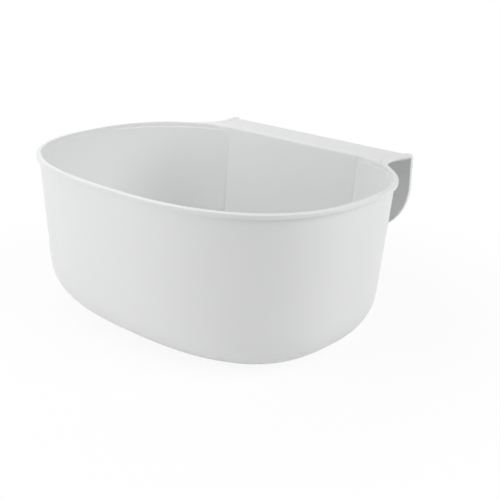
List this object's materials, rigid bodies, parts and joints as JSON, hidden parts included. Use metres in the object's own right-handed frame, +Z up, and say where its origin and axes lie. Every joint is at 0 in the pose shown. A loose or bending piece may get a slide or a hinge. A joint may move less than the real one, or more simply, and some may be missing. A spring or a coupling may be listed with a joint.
{
  "type": "feed bucket",
  "caption": "Oval hanging bucket with a flat back, a rounded heel, a lipped rim and a broad hook that drops over a rail or board.",
  "frame": {"origin": "at the level of the floor's underside, under the centre of the whole bucket's box, hook included", "axes": "+X to the right as seen from the front, +Y from the front wall towards the hook, +Z up"},
  "size_m": [0.215, 0.175, 0.09],
  "materials": {
    "white_plastic": "fine satin moulded plastic, off-white"
  },
  "bodies": {
    "root": {"floor_plate": "white_plastic", "front_heel": "white_plastic", "left_heel": "white_plastic", "right_heel": "white_plastic", "back_heel": "white_plastic", "front_wall": "white_plastic", "left_wall": "white_plastic", "right_wall": "white_plastic", "back_wall": "white_plastic", "rim_lip": "white_plastic", "left_hook_bead": "white_plastic", "right_hook_bead": "white_plastic", "hook_bridge": "white_plastic", "hook_drop_plate": "white_plastic"}
  },
  "joints": []
}
